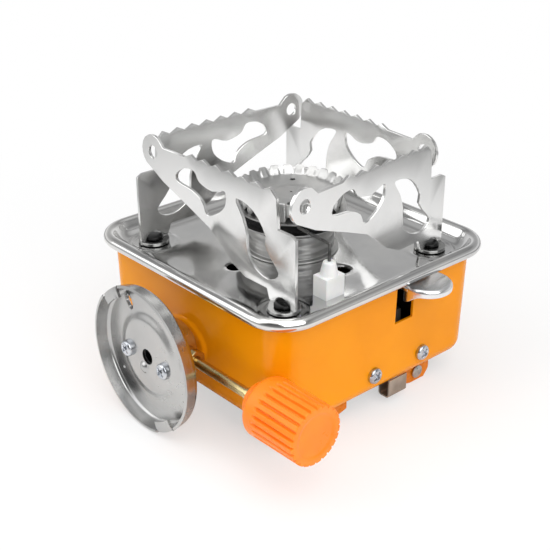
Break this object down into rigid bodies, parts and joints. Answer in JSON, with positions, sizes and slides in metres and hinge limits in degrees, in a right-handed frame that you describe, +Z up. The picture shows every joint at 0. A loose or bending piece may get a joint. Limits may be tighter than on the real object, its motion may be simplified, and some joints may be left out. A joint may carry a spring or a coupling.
{
  "type": "butane cassette stove head",
  "caption": "Small cartridge stove head with swinging pot supports, fluted burner, piezo thumb tab, cartridge dish, knob and folding legs.",
  "frame": {"origin": "on the table, under the axis of the burner", "axes": "+Z up; -Y is the side with the cartridge dish and the valve; +X is the side with the igniter's thumb tab and the knob"},
  "size_m": [0.1095, 0.1071, 0.0809],
  "materials": {
    "enamel": "gloss baked enamel",
    "tray_steel": "polished stainless sheet",
    "zinc": "dull zinc plate",
    "screw_steel": "bright zinc plate",
    "rivet_steel": "satin",
    "support_steel": "bright stainless sheet",
    "black_rivet": "black oxide, semi gloss",
    "crown_steel": "pressed stainless, satin",
    "burner_steel": "satin",
    "dark_screen": "dark mesh",
    "brass": "machined",
    "yellow_chromate": "yellow chromate",
    "dish_steel": "polished stainless sheet",
    "knob_plastic": "glossy, slightly clear",
    "chrome": "bright chrome",
    "grey_plastic": "matte",
    "black_plastic": "matte",
    "bracket_steel": "plain plated sheet",
    "ceramic": "glazed ceramic",
    "rubber": "matte",
    "wire": "satin"
  },
  "bodies": {
    "stove": {"body_shell": "enamel", "tray": "tray_steel", "base_plate": "zinc", "side_screws": "screw_steel", "leg_rivets": "rivet_steel", "support_rivets": "black_rivet", "burner_cap": "crown_steel", "flame_plate": "crown_steel", "burner_screen": "dark_screen", "burner_cup": "burner_steel", "burner_nut": "zinc", "mixing_tube": "zinc", "jet": "brass", "valve_body": "yellow_chromate", "valve_union": "yellow_chromate", "spindle_gland": "brass", "gas_dish": "dish_steel", "dish_screws": "screw_steel", "inlet_nozzle": "brass", "inlet_seal": "rubber", "piezo_housing": "black_plastic", "piezo_bracket": "bracket_steel", "insulator": "ceramic", "electrode": "wire"},
    "pot_support_a": {"pot_support_a": "support_steel"},
    "pot_support_b": {"pot_support_b": "support_steel"},
    "pot_support_c": {"pot_support_c": "support_steel"},
    "pot_support_d": {"pot_support_d": "support_steel"},
    "leg_a": {"leg_a": "enamel"},
    "leg_b": {"leg_b": "enamel"},
    "leg_c": {"leg_c": "enamel"},
    "leg_d": {"leg_d": "enamel"},
    "gas_knob": {"valve_spindle": "screw_steel", "knob_ferrule": "screw_steel", "knob": "knob_plastic"},
    "igniter": {"igniter_lever": "chrome", "piezo_plunger": "grey_plastic"}
  },
  "joints": [
    {"name": "support_a_hinge", "type": "hinge", "parent": "stove", "child": "pot_support_a", "pos_m": [0.0313, -0.0313, 0.0434], "axis": [0, 0, 1], "range_deg": [0, 135]},
    {"name": "support_b_hinge", "type": "hinge", "parent": "stove", "child": "pot_support_b", "pos_m": [0.0313, 0.0313, 0.0434], "axis": [0, 0, 1], "range_deg": [0, 135]},
    {"name": "support_c_hinge", "type": "hinge", "parent": "stove", "child": "pot_support_c", "pos_m": [-0.0313, 0.0313, 0.0434], "axis": [0, 0, 1], "range_deg": [0, 135]},
    {"name": "support_d_hinge", "type": "hinge", "parent": "stove", "child": "pot_support_d", "pos_m": [-0.0313, -0.0313, 0.0434], "axis": [0, 0, 1], "range_deg": [0, 135]},
    {"name": "leg_a_hinge", "type": "hinge", "parent": "stove", "child": "leg_a", "pos_m": [0.03572, -0.0225, 0.0037], "axis": [-1, 0, 0], "range_deg": [0, 90]},
    {"name": "leg_b_hinge", "type": "hinge", "parent": "stove", "child": "leg_b", "pos_m": [0.03572, 0.0225, 0.0037], "axis": [1, 0, 0], "range_deg": [0, 90]},
    {"name": "leg_c_hinge", "type": "hinge", "parent": "stove", "child": "leg_c", "pos_m": [-0.03572, 0.0225, 0.0037], "axis": [1, 0, 0], "range_deg": [0, 90]},
    {"name": "leg_d_hinge", "type": "hinge", "parent": "stove", "child": "leg_d", "pos_m": [-0.03572, -0.0225, 0.0037], "axis": [-1, 0, 0], "range_deg": [0, 90]},
    {"name": "knob_turn", "type": "hinge", "parent": "stove", "child": "gas_knob", "pos_m": [0, -0.04799, 0.0238], "axis": [1, 0, 0], "range_deg": [0, 450]},
    {"name": "igniter_press", "type": "slide", "parent": "stove", "child": "igniter", "axis": [0, 0, -1], "range_m": [0, 0.005], "stiffness_N_per_m": 1200}
  ]
}
